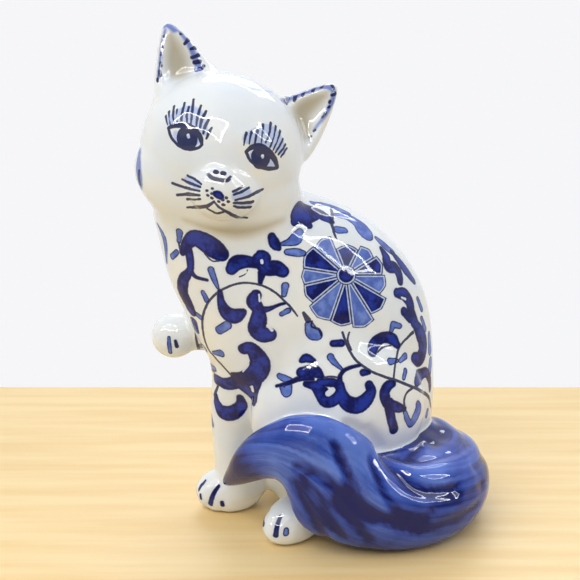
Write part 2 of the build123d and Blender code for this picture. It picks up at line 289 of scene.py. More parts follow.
WHISKERS = {
    "line": [
        [(-41, 45.8, .35), (-38, 44.3, .35), (-35.3, 42.3, .3)],
        [(-43, 44.2, .35), (-39.6, 42.6, .4), (-35.7, 41.2, .3)],
        [(-47, 42.8, .4), (-42, 41, .4), (-36, 39.6, .3)],
        [(-45, 38.0, .45), (-40.5, 38.3, .45), (-36.1, 37.9, .35)], [(-41, 36.3, .4), (-35.8, 36.5, .35)],
        [(-22.9, 39.4, .35), (-21, 40.2, .4), (-19, 41.4, .35)],
        [(-22.5, 38.1, .35), (-19.5, 39.3, .4), (-16.5, 40.9, .35)],
        [(-22, 36, .3), (-17, 37.3, .4), (-13.8, 38.9, .4), (-11, 40.3, .35)],
        [(-22.5, 34.9, .35), (-18, 34.9, .45), (-14.7, 35.3, .4)],
        [(-22.5, 33.6, .3), (-20, 33.0, .4), (-15.7, 33.1, .35)],
    ],
    "pale": [
        [(-41, 44, 1.3), (-37, 42, 1.5)], [(-21.5, 37.5, 1.8), (-17, 38.5, 1.6)],
        [(-21.5, 34.4, .9), (-16, 34.3, .9)],
    ],
}
CHEEK_AND_CROWN = {
    "wash": [
        [(-60.2, 56, .8), (-60.8, 49, 1.8), (-60.2, 44, 1.6), (-59.6, 40.8, .6)],
    ],
    "ink": [
        [(-60.3, 47.6, .3), (-60, 42.4, .4)],
    ],
    "pale": [
        [(-20.5, 82.6, .3), (-17, 81, .5), (-13, 80.2, .5), (-7, 79.2, .3)],
    ],
}
RIGHT_EAR = {
    "wash": [
        [(-48.6, 105.6, 1.6), (-46.4, 104.6, 1.8)],
        [(-50, 105.4, 1.1), (-47, 106.2, 1.5), (-44.6, 104.4, 1.1), (-42, 101, 1.2), (-40, 97.5, 1.3),
         (-38, 93, 1.5), (-36.5, 89, 1.6)],
        [(-52.9, 84, .9), (-52, 91, .9), (-51.4, 98, .8), (-50, 104, .9)],
    ],
    "line": [
        [(-53, 84.2, .6), (-52.8, 83.8, .6)], [(-52.2, 87.6, .5), (-51.9, 85.8, .6)],
        [(-51.8, 91.0, .4), (-51.6, 89.6, .5)], [(-51.5, 95, .35), (-51.6, 94, .4)],
        [(-51.2, 98, .45), (-51.1, 96.7, .45)], [(-50.5, 101.8, .4), (-50.4, 101.2, .4)],
        [(-44.9, 106.1, .4), (-44.7, 106, .4)], [(-42.4, 103.3, .55), (-43.9, 102.3, .4)],
        [(-40.7, 100.2, .6), (-42.1, 98.5, .5)], [(-38, 96.9, .6), (-39.6, 96.4, .45)],
        [(-36.7, 93.9, .65), (-39.3, 93, .5)], [(-36.1, 91.4, .7), (-38.3, 91, .6)],
        [(-34.4, 89.6, .55), (-35, 88.8, .5)],
    ],
    "mid": [
        [(-35.2, 88.4, .6), (-37.4, 88, .7)],
    ],
}
LEFT_EAR = {
    "line": [
        [(-1.1, 77.1, .6), (-1.8, 74.7, .5)], [(2.3, 78.3, .6), (1.6, 75.5, .45)],
        [(6.3, 80.2, .6), (4.9, 77.6, .45)], [(10, 81.4, .45), (9, 79.4, .5)],
        [(13.7, 82.2, .35), (12.4, 80.9, .45)], [(16.8, 81.9, .5), (17.4, 80.5, .5)],
        [(18.2, 78.6, .55), (16.6, 77.9, .45)], [(16, 75.6, .5), (15.8, 75.1, .5)],
        [(15.8, 73.4, .4), (15.3, 73, .4)], [(14.2, 70.9, .4), (13, 69, .45)],
        [(10, 64, .45), (9.6, 63.6, .45)], [(8.3, 61.5, .45), (8, 61.2, .45)],
    ],
    "wash": [
        [(-3, 75.4, 1.0), (1.5, 77.4, 1.3), (7, 79.6, 1.3), (12.5, 81.3, 1.2), (17, 80.4, 1.3),
         (17.3, 77, 1.2), (15.5, 72.5, 1.2), (13, 68.5, 1.0), (10, 64.5, .8)],
    ],
}
# Painted shade and painted reflection of the warm table: a warm tint inside both ears and under the chin.
WARM_SHADOWS = {
    "painted_shade": [
        [(-47.8, 102, 1.6), (-46.4, 97, 3.2), (-45.4, 91.5, 4.6), (-44.8, 88.5, 4.6)],
        [(-42, 28, .2), (-33, 25, 1.4), (-22, 23.4, 2.4), (-12, 24.8, 1.8), (-3, 28, .4)],
        [(14.2, 78.4, 1.6), (10.5, 75.8, 3.0), (6.5, 73, 4.0), (4.5, 70, 4.0), (5.8, 66.5, 3.0),
         (6.2, 62, 1.8)],
    ],
}
CHEST = {
    "mid": [
        [(-53, 26.4, .3), (-51.2, 22.8, .8), (-49.9, 18.6, .9), (-49.3, 11, .3)],
        [(7.6, -13.8, 1.6), (8.8, -17, 2.4), (10.6, -17.8, 2.2)],
    ],
    "bud": [
        [(-44.2, 23.2, 1.2), (-44.5, 19.5, .7)], [(-47, 13.4, .9), (-45.3, 15.1, .9)],
        [(-31.6, 8.1, 1.2), (-30.2, 4, 1.0), (-28.9, 1, .5)], [(-34.8, -1, .8), (-33.2, -4, 1.0)],
        [(-25, -14, 1.6), (-28.2, -16, 1.5)], [(-1.9, 1.6, 1.4), (-2.4, -1.8, .9)],
        [(-3.4, -9.6, .8), (-.8, -8.2, 1.0)], [(-27.6, -25.3, 1.3), (-30.6, -25.1, .5)],
        [(-31.4, -50.6, .8), (-31, -53.4, .9)], [(-36, -22.8, .7), (-34.2, -23.3, 1.1)],
        [(-32.4, -29.4, .6), (-30, -31.6, .7)], [(-37.4, -9.6, .8), (-35.6, -11, .9)],
    ],
    "line": [
        [(-44.5, 19, .3), (-44, 16.5, .3)], [(-34.2, 14.6, .2), (-31.2, 11.7, .25), (-28.4, 11.6, .2)],
        [(-20.2, 5.3, .2), (-18.2, 6.2, .25), (-17, 8, .2)],
        [(3, -10.4, .25), (.4, -7, .32), (-2, -4.6, .34), (-5.6, -1.2, .34), (-10, 1.4, .34),
         (-15, 2.7, .34), (-20, 2.8, .36), (-25, 1.2, .36), (-29.2, -1.2, .36), (-32.6, -4.8, .36),
         (-34.5, -9.2, .36), (-35, -14, .36), (-34.2, -19.6, .36), (-32.4, -24, .36), (-29.4, -27.6, .36),
         (-26, -31.4, .36), (-23.4, -34.2, .36)],
        [(5.4, -9.2, .5), (7.2, -12, .9)],
        [(8.8, -12.4, .3), (8.6, -14.6, .3), (11.4, -15.6, .4), (12.6, -18, .4)],
        [(-28.6, -38, .35), (-30.2, -42, .5)],
        [(-38.6, -13, .3), (-37.6, -19, .36), (-35.6, -26, .36), (-33, -30, .36), (-30.4, -32.6, .3)],
    ],
    "ink": [
        [(-43, 15.2, 1.2), (-41.2, 18.4, 2.0), (-38, 21, 2.8), (-34.5, 19.6, 3.5), (-30.5, 16.8, 3.6),
         (-27.2, 14.4, 2.5)],
        [(-41, 17, 1.6), (-40, 12.5, 1.4), (-40, 8, 1.2), (-42.6, 4, 2.0), (-43, -.5, 2.2),
         (-41.3, -4.5, 2.1), (-39.4, -8.2, 1.7)],
        [(-39.8, 7.5, .9), (-37.6, 5.2, .5), (-33, 4, .3)],
        [(-23.4, 8.4, 2.0), (-21.4, 10.8, 2.7), (-17.6, 11.4, 2.2), (-14, 11, 1.9), (-11.4, 12.2, 3.4)],
        [(-11.4, 12, 3.0), (-9.4, 8.8, 2.6), (-5.6, 8.8, 2.7), (-2.8, 7.4, 2.1)],
        [(-11.2, 7, 1.4), (-11.9, 3, .6)],
        [(-28, -.6, .8), (-27.4, -5, 1.4), (-25.4, -9, 2.5), (-22.4, -10.4, 2.7), (-19.8, -9.4, 1.8),
         (-18.6, -8.7, 1.0)],
        [(-13.6, -2, 1.9), (-14.6, -4.6, 2.5), (-12.6, -8, 2.1), (-12.6, -12, 3.0), (-13.2, -15.6, 3.2),
         (-11, -17.8, 2.9), (-8.2, -17.8, 2.5)],
        [(-11, -8, 1.2), (-8, -7.4, .7), (-5, -6.1, .35), (-2, -5.2, .3)],
        [(17.2, -21.4, 1.1), (20.6, -21.2, 1.2)],
        [(-18.6, -23.6, 1.9), (-15.8, -23.2, 2.3), (-13, -26.5, 3.1), (-12, -30, 3.7),
         (-13.8, -33.6, 3.6), (-18, -35.6, 2.8), (-22, -34.8, 1.6)],
        [(-29.6, -35.6, 1.4), (-25.4, -37.6, 2.0), (-20.4, -36.6, 2.3)],
        [(-19.6, -37.6, 2.2), (-15.6, -41.5, 1.8), (-14.4, -44.4, 1.1)],
        [(-13.6, -36, 2.2), (-13.4, -40.2, 1.0), (-14, -44, .9)],
        [(-29.6, -42.4, .8), (-29, -46, 1.7), (-26.6, -49, 2.6), (-22.6, -49, 2.9), (-19.4, -46, 2.1),
         (-19.8, -43.2, 1.3)],
        [(-38.4, -12.8, 1.3), (-37.6, -15.8, 1.1)],
    ],
    "spare": [
        [(-39.6, -.6, .35), (-38.6, -3, .5), (-38, -5, .3)], [(-11.3, 11.8, .6), (-11.2, 11, .6)],
        [(-20, 6.2, .5), (-18, 7.4, .7)], [(-12.4, -1.8, .3), (-12.1, -4.4, .4)],
        [(-9, -14.2, .5), (-7.2, -16, .6)], [(-17.4, -26.2, .3), (-16.6, -29.6, .35), (-18.8, -32.6, .3)],
        [(-15.2, -38.6, .5), (-14.9, -40.2, .6)],
    ],
}
BACK_EDGE = {
    "ink": [
        [(1.8, 27.6, 1.5), (3, 31, 2.8), (6, 30.6, 3.2), (10, 31, 2.5), (14, 29.2, 1.9),
         (16.4, 27.4, 1.0)],
        [(6, 28.6, 2.4), (7.4, 26, 1.3)], [(-7.4, 21.4, 1.3), (-6.2, 18.6, 1.9), (-4.6, 16.8, .9)],
        [(36.4, 16.6, .6), (38.4, 13, 1.6), (39.4, 9.6, 2.0), (42, 9, 1.8), (43.6, 6.4, 1.6),
         (44, 3.4, 1.2)],
        [(40.6, 15.2, .6), (43.4, 11.8, 1.2), (46.2, 8, 1.5), (49.4, 3.6, .9)],
        [(42.8, -1.2, 1.5), (45.6, -1.8, 2.1), (47.8, -4.8, 1.9), (48.6, -9, 1.7), (49.8, -13, 1.8)],
        [(45.6, -8.6, 1.4), (48, -11.2, 1.5)],
        [(50, -13, 1.4), (51.6, -16.4, 2.1), (53, -20, 2.4), (53.2, -24, 2.3), (51.6, -27.6, 2.3),
         (49.8, -27.2, 1.8)],
        [(32.8, -25, 1.5), (33.6, -21.6, 2.0), (37, -19, 1.9), (40.6, -19.4, 2.0), (43, -22.2, 1.1)],
        [(50.6, -37, 1.2), (52, -34.2, 1.7), (54.4, -33, 1.3), (55.8, -36, 1.0), (56, -39.4, .8)],
    ],
    "line": [
        [(16.2, 33, .3), (16.9, 30, .4), (16.6, 27, .5), (17.6, 23, .4), (18.6, 20, .3)],
        [(49, -17, .5), (46, -20, .36), (43.6, -23, .34), (42.8, -26, .34), (42, -30, .34),
         (41.4, -35, .34), (41.4, -38, .34)],
        [(35, -25, .2), (37, -23, .3), (40.4, -22.2, .2)],
        [(21, -17, .4), (22, -20, .4), (23.6, -24, .4), (26, -27.8, .4), (28.8, -30.2, .4),
         (33, -32.8, .4), (38, -34.8, .4), (42, -36, .4), (47, -38, .4), (52, -40.2, .4),
         (55.4, -42.8, .4), (56.4, -47, .3)],
        [(23.6, -17, .3), (23, -20, .3), (24.4, -24, .3)],
    ],
    "mid": [
        [(19, 24.1, 1.4), (21.8, 23.8, 1.1)],
        [(9, 34.8, .8), (14, 34, 1.0), (18.4, 32.6, 1.2), (23, 30.8, .8)],
        [(17.4, 30, .6), (23, 29.2, 1.6), (27.4, 26.4, 2.3), (29.6, 23.8, 3.0), (30.6, 22.4, 2.4)],
        [(-3.4, 18.4, .6), (0, 19.2, 1.4), (2.4, 20.6, 2.2), (4, 23.2, 1.3)],
        [(-1.2, 15.2, 1.1), (2.6, 15, 1.5), (5.4, 14.6, 1.0)],
        [(34.6, 20.6, .7), (37.6, 18, 1.3), (41, 15, 1.1)], [(55.6, -18, .9), (56, -24, 1.3)],
        [(56.2, -28.6, 1.2), (55.8, -33, 1.2)],
    ],
    "spare": [
        [(3.4, 27.2, .2), (5, 24.8, .3), (8.4, 22.8, .2)], [(44.6, -3, .3), (46, -3.6, .5)],
    ],
    "bud": [
        [(41.2, -13.8, 1.2), (43.8, -14.4, .9)], [(41, -14.4, 1.1), (40.2, -17, .7)],
        [(40, -28.6, 1.2), (42.6, -28.2, .7)], [(44, -28.4, .6), (46, -26.4, 1.0)],
        [(46.2, -32.2, .8), (45.4, -35.2, .7)], [(51, -3.6, .7), (52.6, -7.6, .8)],
        [(52.6, -11.4, .7), (54, -15.6, .8)],
    ],
}
HAUNCH = {
    "ink": [
        [(4.6, -28.2, .8), (6.6, -27.2, 1.5), (9.4, -28.3, .8)],
        [(4.6, -33, 1.8), (7, -33, 2.4), (10, -32.6, 2.2), (12.6, -34.6, .9)],
        [(-5.4, -38.4, .3), (0, -37, .6), (4, -35.4, .8), (9, -35.6, .6)],
        [(6.4, -37.6, 1.0), (10, -38.4, 1.8), (12.6, -41, 2.6), (14.6, -44.4, 2.4), (18.2, -43.6, 2.0),
         (20, -40.4, 2.0), (17.4, -37.2, 1.6), (12, -37, 1.4)],
        [(19.6, -38, 1.8), (20.6, -42, 2.2), (23.2, -45.4, 2.8), (27, -46.2, 2.9), (30.4, -44, 2.6),
         (32.4, -40.6, 1.9), (31.6, -38, 1.5)],
        [(19.8, -37, 1.0), (20.2, -34, .6), (22.6, -31.6, .5), (28, -30, .4)],
        [(29.2, -33, 1.2), (31.4, -32.8, .8)],
        [(41, -37.4, 1.2), (38.8, -38.8, 1.9), (37.8, -42, 1.9), (39.6, -45.6, 2.1), (43, -47, 1.7),
         (45.8, -47.6, .7)],
        [(39.8, -46.6, 2.0), (40.4, -51, 1.6), (41.6, -55.8, 1.6)],
    ],
    "mid": [
        [(16.2, -26.8, 1.3), (17.4, -28.6, 1.1), (20.6, -31.6, .5)],
        [(-4.2, -34.4, 1.0), (-1.6, -35.6, 1.2), (1.6, -36.4, .5)],
        [(-3.4, -39, .7), (-1.4, -40.9, 1.8), (-.4, -38.4, 1.3)],
        [(45.8, -48, .6), (46.6, -51, 1.0), (48.2, -53.6, 1.1), (50, -51, 1.7), (51.4, -47.8, 1.7),
         (51, -45.4, .9)],
    ],
    "spare": [
        [(15.4, -41.4, 1.2), (17, -40, 1.1)], [(41, -40.4, .3), (40.4, -42.6, .4)],
    ],
    "line": [
        [(46, -47.4, .3), (45.6, -44.2, .34), (46.8, -41, .34), (50, -38.6, .3)],
        [(20.2, -35.2, .3), (16, -34.6, .3), (12, -35.4, .3)],
    ],
    "bud": [
        [(55, -48.4, .7), (54.6, -50, .8)],
    ],
}
TOES = {
    "ink": [
        [(-33.9, -76.4, .3), (-35.6, -78.4, .5), (-36.4, -80, .3)],
        [(-35.8, -82, .35), (-35.7, -83.4, .35)],
        [(-28.4, -78.4, .35), (-30.6, -81.6, .7), (-31.8, -85.6, .7)],
        [(-27.2, -84.8, .5), (-27, -86, .6)], [(-11, -85.4, .4), (-11.3, -86.8, .4)],
        [(-10, -90, .35), (-10.6, -93.8, .4)], [(-3.8, -90.6, .4), (-5, -94, .6), (-5.7, -98.2, .8)],
        [(-45.8, -20.4, .4), (-45.2, -22.6, .5)],
    ],
    "mid": [
        [(-1.5, -96, .9), (-1.6, -97.4, 1.0)], [(-48.4, -19, .5), (-48.3, -22, .7), (-47.9, -25, .5)],
    ],
}
# One sprig of the pattern for the sides that the photograph doesn't show, about its own middle.
SPRIG = {
    "line": [
        [(-24, -6, .3), (-18, 3, .36), (-9, 7, .36), (0, 4, .36), (8, -3, .36), (16, -5, .36),
         (24, 2, .3)],
    ],
    "ink": [
        [(-18, 3, .6), (-19, 7.5, 1.8), (-16, 11, 2.6), (-12, 11.5, 2.2), (-10, 9.5, 1.2)],
        [(-10, 6.6, .5), (-12, 2, 1.6), (-10.4, -2, 2.4), (-6.6, -3.2, 2.4), (-4.4, -1, 1.4)],
        [(1, 3, .6), (3, 7, 1.7), (7, 9, 2.5), (11, 7.4, 2.3), (11.6, 4.4, 1.3)],
        [(8, -3.4, .6), (6, -7.4, 1.7), (8, -11, 2.5), (12.4, -11.4, 2.5), (14.6, -9, 1.5)],
        [(16, -4.6, .5), (18.4, -9, 1.4), (22, -10.6, 1.9), (24.6, -8.6, 1.2)],
    ],
    "spare": [
        [(-15.6, 9.2, .3), (-13, 9.8, .5)], [(8.6, -8.8, .3), (11, -9.6, .5)],
    ],
    "bud": [
        [(-22.4, 1.2, 1.2), (-20.6, 0, .7)], [(-3.4, 10.4, 1.3), (-4, 7.4, .8)],
        [(-1, -1.6, 1.2), (1, 1.2, .7)], [(18.6, .4, 1.3), (16.6, -2.4, .8)],
    ],
}
SIDE_FLOWER = (6, 2)
SIDE_FLOWER_SIZE = 0.9
SIDE_PETALS = [
    (30 * step - 15, 30 * step + 15, 14.0 + 1.5 * (step % 3), step % 2 == 0)
    for step in range(12)
]
# Where sprigs lie on the far sides: across, up, turn in degrees, size.
BACK_SPRIGS = [(25, 14, 100, 0.6), (-22, 7, 55, 0.75), (-6, -22, 10, 1.0), (-8, -52, 190, 0.9)]
RIGHT_SPRIGS = [(20, -34, 60, 0.8), (24, 12, 115, 0.8)]
LEFT_SPRIGS = [(-20, -34, 100, 0.8)]
FACE_PARTS = [
    RIGHT_EYE, LEFT_EYE, MUZZLE, WHISKERS, CHEEK_AND_CROWN, RIGHT_EAR, LEFT_EAR, WARM_SHADOWS]
BODY_PARTS = [CHEST, BACK_EDGE, HAUNCH, TOES]


def node_solid(name):
    """Points (mm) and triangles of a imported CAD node."""
    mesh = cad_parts[name].data
    mesh.calc_loop_triangles()
    points = np.empty(len(mesh.vertices) * 3, np.float32)
    mesh.vertices.foreach_get("co", points)
    triangles = np.empty(len(mesh.loop_triangles) * 3, np.int32)
    mesh.loop_triangles.foreach_get("vertices", triangles)
    return points.reshape(-1, 3) / MM, triangles.reshape(-1, 3)


def node_field(name):
    """Signed distances (mm) to a CAD node on the grid, negative inside."""
    points, triangles = node_solid(name)
    cells = ((points - ORIGIN) / CELL).astype(np.float32)
    return distance_field(cells, triangles=triangles.astype(np.uint32))


def smooth_union(one, other, width):
    """The union of two fields with a fillet of about the given width."""
    if width <= 0:
        return np.minimum(one, other)
    near = np.maximum(width - np.abs(one - other), 0) / width
    return np.minimum(one, other) - near * near * width / 4


def spread(reached, free):
    """The free cells that can be reached from the given ones in straight runs."""
    count = -1
    while count != reached.sum():
        count = reached.sum()
        for axis in range(3):
            cells = np.moveaxis(reached, axis, 0)
            source = np.moveaxis(free, axis, 0)
            for i in range(1, len(cells)):
                cells[i] |= cells[i - 1] & source[i]
            for i in range(len(cells) - 2, -1, -1):
                cells[i] |= cells[i + 1] & source[i]
    return reached


def filled(field, plug):
    """The field with its inner hollows filled. Cells of the plug are shut."""
    free = (field > CLEAR) & ~plug
    border = np.zeros_like(free)
    border[0] = free[0]
    outside = spread(border, free)
    core = free & ~outside & (field > HOLLOW_CORE)
    hollow = spread(core, (field > HOLLOW_EDGE) & ~plug & ~outside)
    shut = hollow | (plug & (field > 0))
    deep = measured(np.where(shut, FILL_DEPTH, field).astype(np.float32))
    share = np.clip(-deep - SKIN_KEPT, 0, 1)
    return field + (deep - field) * share


def measured(field):
    """True distances to the surface where the field is zero."""
    levels = vdb.FloatGrid(BAND)
    levels.copyFromArray(field / CELL, ijk=(0, 0, 0))
    points, quads = levels.convertToQuads()
    return distance_field(points, quads=quads)


def distance_field(points, **faces):
    """Signed distances (mm) on the grid to a closed surface given in cells."""
    levels = vdb.FloatGrid.createLevelSetFromPolygons(
        points, transform=vdb.createLinearTransform(voxelSize=1.0), halfWidth=BAND / CELL, **faces)
    field = np.empty(SHAPE, np.float32)
    levels.copyToArray(field, ijk=(0, 0, 0))
    return field * CELL


def soften(field, sigma):
    """The field after a Gaussian blur of sigma mm."""
    reach = int(math.ceil(3 * sigma / CELL))
    offsets = np.arange(-reach, reach + 1)
    weights = np.exp(-0.5 * (offsets * CELL / sigma) ** 2)
    weights /= weights.sum()
    for axis in range(3):
        margins = [(reach, reach) if i == axis else (0, 0) for i in range(3)]
        padded = np.pad(field, margins, mode="edge")
        lines = np.moveaxis(padded, axis, 0)
        count = field.shape[axis]
        total = sum(w * lines[i:i + count] for i, w in enumerate(weights.astype(np.float32)))
        field = np.moveaxis(total, 0, axis)
    return np.ascontiguousarray(field)


def sample(field, points):
    """Values of a grid field, one or three per cell, at points in mm."""
    place = np.clip((points - ORIGIN) / CELL, 0, np.array(SHAPE) - 1.001)
    cell = place.astype(np.int64)
    part = (place - cell).astype(np.float32)
    flat = field.reshape(SHAPE[0] * SHAPE[1] * SHAPE[2], -1)
    total = 0
    for corner in range(8):
        step = np.array([corner & 1, corner >> 1 & 1, corner >> 2 & 1])
        weight = np.prod(np.where(step, part, 1 - part), axis=1)
        at = cell + step
        index = (at[:, 0] * SHAPE[1] + at[:, 1]) * SHAPE[2] + at[:, 2]
        total = total + weight[:, None] * flat[index]
    return total[:, 0] if field.ndim == 3 else total


def slope_field(field):
    """The gradient of a grid field, three values per cell."""
    return np.stack(np.gradient(field, CELL), axis=-1).astype(np.float32)


class Clay:
    """The figurine as one field, with its slope."""

    def __init__(self, field):
        self.field = field
        self.slope = slope_field(field)

    def settle(self, points, rounds=3):
        """Moves points onto the surface."""
        for _ in range(rounds):
            slope = sample(self.slope, points)
            steep = np.maximum((slope * slope).sum(1), LEAST_STEEP)
            points = points - (sample(self.field, points) / steep)[:, None] * slope
        return points

    def normals(self, points):
        slope = sample(self.slope, points)
        return slope / np.maximum(np.linalg.norm(slope, axis=1), 1e-6)[:, None]


class Painter:
    """Someone who looks at the clay from one place and marks it on a plane across that view."""

    def __init__(self, azimuth_deg, pitch_deg, target):
        azimuth, pitch = math.radians(azimuth_deg), math.radians(pitch_deg)
        self.back = np.array([
            math.sin(azimuth) * math.cos(pitch), -math.cos(azimuth) * math.cos(pitch), math.sin(pitch)])
        self.right = np.array([math.cos(azimuth), math.sin(azimuth), 0.0])
        self.up = np.cross(self.back, self.right)
        self.target = np.array(target)
        self.eye = self.target + CAMERA_DISTANCE * self.back

    def project(self, marks, clay):
        """Points on the clay under marks (across, up). A mark beside the clay goes to its nearest edge."""
        marks = np.asarray(marks, float)
        aim = self.target + marks[:, :1] * self.right + marks[:, 1:2] * self.up - self.eye
        aim /= np.linalg.norm(aim, axis=1)[:, None]
        far = np.full(len(marks), CAMERA_DISTANCE - LOOK_SPAN)
        best = np.full(len(marks), 1e9)
        place = far.copy()
        moving = np.ones(len(marks), bool)
        for _ in range(LOOK_STEPS):
            points = self.eye + aim * far[:, None]
            value = sample(clay.field, points)
            better = moving & (value < best)
            best[better] = value[better]
            place[better] = far[better]
            moving &= (value > TOUCH) & (far < CAMERA_DISTANCE + LOOK_SPAN)
            if not moving.any():
                break
            far = far + np.where(moving, np.maximum(value * LOOK_STRIDE, LOOK_LEAST), 0)
        return clay.settle(self.eye + aim * place[:, None])

    def marks(self, points):
        """Where points are seen on the painter's plane."""
        away = points - self.eye
        depth = -away @ self.back
        scale = CAMERA_DISTANCE / depth
        return np.stack([away @ self.right * scale, away @ self.up * scale], axis=1)


def rounded(spine, parts=4):
    """A finer spine through the same marks, bent smoothly (Catmull-Rom)."""
    spine = np.asarray(spine, float)
    if len(spine) < 3:
        return spine
    ends = np.vstack([2 * spine[0] - spine[1], spine, 2 * spine[-1] - spine[-2]])
    made = []
    for a, b, c, d in zip(ends, ends[1:], ends[2:], ends[3:]):
        for t in np.arange(parts) / parts:
            made.append(0.5 * (2 * b + (c - a) * t + (2 * a - 5 * b + 4 * c - d) * t * t
                               + (3 * b - a - 3 * c + d) * t ** 3))
    made.append(spine[-1])
    return np.array(made)


def spine_distance(points, spine, radii=None):
    """Distance from points to a spine, less its half width there."""
    best = np.full(len(points), 1e9)
    for i in range(len(spine) - 1):
        run = spine[i + 1] - spine[i]
        length = max(run @ run, 1e-9)
        share = np.clip((points - spine[i]) @ run / length, 0, 1)
        gap = np.linalg.norm(points - spine[i] - share[:, None] * run, axis=1)
        if radii is not None:
            gap = gap - (radii[i] + share * (radii[i + 1] - radii[i]))
        best = np.minimum(best, gap)
    return best


def near_spine(field, spine, margin, radii=None):
    """The part of a field within a margin of a spine's box, and the distances to the spine there."""
    low = np.maximum(((spine.min(0) - margin - ORIGIN) / CELL).astype(int), 0)
    high = np.minimum(((spine.max(0) + margin - ORIGIN) / CELL).astype(int) + 2, SHAPE)
    axes = [ORIGIN[i] + CELL * np.arange(low[i], high[i]) for i in range(3)]
    cells = np.stack(np.meshgrid(*axes, indexing="ij"), axis=-1).reshape(-1, 3)
    gap = spine_distance(cells, spine, radii).reshape([len(axis) for axis in axes])
    return field[low[0]:high[0], low[1]:high[1], low[2]:high[2]], gap


def press(field, spine, height, width):
    """Adds clay of the given height along a spine, or takes it away if height is negative."""
    part, gap = near_spine(field, spine, 3 * width)
    part -= (height * np.exp(-0.5 * (gap / width) ** 2)).astype(np.float32)


def swollen(field, swell):
    """The field with a swell of clay melted into it."""
    made = field.copy()
    part, gap = near_spine(made, swell[:, :3], swell[:, 3].max() + 2 * TAIL_SWELL_FILLET, swell[:, 3])
    part[:] = smooth_union(part, gap, TAIL_SWELL_FILLET)
    return made


def tail_knots():
    """Fine knots of the tail's middle line, the steps between them, and how far along each lies."""
    knots = rounded([(*centre, thick, high) for centre, thick, high in TAIL_LINE], TAIL_PARTS)
    steps = np.linalg.norm(np.diff(knots[:, :3], axis=0), axis=1)
    return knots, steps, np.concatenate([[0], np.cumsum(steps)])


def tail_course(points):
    """For each point: millimetres along the tail, turn round it, and distance from its middle line."""
    knots, steps, lengths = tail_knots()
    line = knots[:, :3]
    best = np.full(len(points), 1e9)
    along = np.zeros(len(points))
    offset = np.zeros((len(points), 3))
    forward = np.zeros((len(points), 3))
    for i, step in enumerate(steps):
        run = (line[i + 1] - line[i]) / step
        share = np.clip((points - line[i]) @ run, 0, step)
        gap = points - line[i] - share[:, None] * run
        size = np.linalg.norm(gap, axis=1)
        closer = size < best
        best[closer] = size[closer]
        along[closer] = lengths[i] + share[closer]
        offset[closer] = gap[closer]
        forward[closer] = run
    side = np.cross(forward, (0, 0, 1.0))
    side /= np.maximum(np.linalg.norm(side, axis=1), 1e-6)[:, None]
    turn = np.arctan2((offset * side).sum(1), offset[:, 2])
    return along, turn, best


def tail_point(along, turn, clay):
    """The surface point of the tail at a length and a turn round its middle line."""
    knots, _, lengths = tail_knots()
    here = np.array([np.interp(along, lengths, knots[:, i]) for i in range(5)]).T
    ahead = np.array([np.interp(along + 1, lengths, knots[:, i]) for i in range(3)]).T
    side = np.cross(ahead - here[:, :3], (0, 0, 1.0))
    side /= np.maximum(np.linalg.norm(side, axis=1), 1e-6)[:, None]
    start = (here[:, :3] + side * (np.sin(turn) * here[:, 3])[:, None]
             + np.array((0, 0, 1.0)) * (np.cos(turn) * here[:, 4])[:, None])
    return clay.settle(start)


FRONT = Painter(0.0, CAMERA_PITCH_DEG, TARGET)
RIGHT_SIDE = Painter(90.0, 12.0, TARGET)
BACK = Painter(180.0, 12.0, TARGET)
LEFT_SIDE = Painter(-75.0, 10.0, TARGET)


def build_clay():
    """The figurine's field, and the fields of the nodes that it is luted from."""
    fields = {name: node_field(name) for name, _ in LUTED}
    for swell in TAIL_SWELLS:
        fields[TAIL] = swollen(fields[TAIL], np.array(swell))
    whole = fields[LUTED[0][0]]
    for name, fillet in LUTED[1:]:
        whole = smooth_union(whole, fields[name], fillet)
    slab = node_field(SLAB)
    closed = np.minimum(whole, slab)
    axes = [ORIGIN[i] + CELL * np.arange(SHAPE[i]) for i in range(3)]
    low, high = (np.array(corner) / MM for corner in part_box(SLAB))
    across, along, up = np.meshgrid(*axes, indexing="ij", sparse=True)
    over_slab = (across > low[0]) & (across < high[0]) & (along > low[1]) & (along < high[1])
    solid = filled(closed, over_slab & (up > low[2]) & (up < PLUG_HEIGHT))
    model(solid)
    solid = soften(solid, SMOOTHING)
    foot = LOW[2] - up
    solid = np.maximum(solid, foot)
    solid = np.maximum(solid, SLAB_GAP - slab).astype(np.float32)
    return Clay(solid), fields


def model(solid):
    """Presses the modelled details into the clay field."""
    rough = Clay(solid)
    for height, width, marks in CLAY + FUR:
        press(solid, FRONT.project(rounded(marks), rough), height, width)
    for turn, first, last in FAR_FUR:
        along = np.linspace(first, last, 14)
        spine = tail_point(along, turn + TAIL_TWIST * (along - first), rough)
        press(solid, spine, FAR_FUR_DEPTH, FAR_FUR_WIDTH)


def first_mesh(clay):
    """Triangles over the clay's surface, about one cell across."""
    levels = vdb.FloatGrid(BAND)
    levels.copyFromArray(clay.field / CELL, ijk=(0, 0, 0))
    points, quads = levels.convertToQuads()
    points = clay.settle(points.astype(float) * CELL + ORIGIN)
    quads = quads.astype(np.int64)
    one = np.linalg.norm(points[quads[:, 0]] - points[quads[:, 2]], axis=1)
    other = np.linalg.norm(points[quads[:, 1]] - points[quads[:, 3]], axis=1)
    short = (one <= other)[:, None]
    first = np.where(short, quads[:, [0, 1, 2]], quads[:, [0, 1, 3]])
    second = np.where(short, quads[:, [0, 2, 3]], quads[:, [1, 2, 3]])
    return points, np.vstack([first, second])


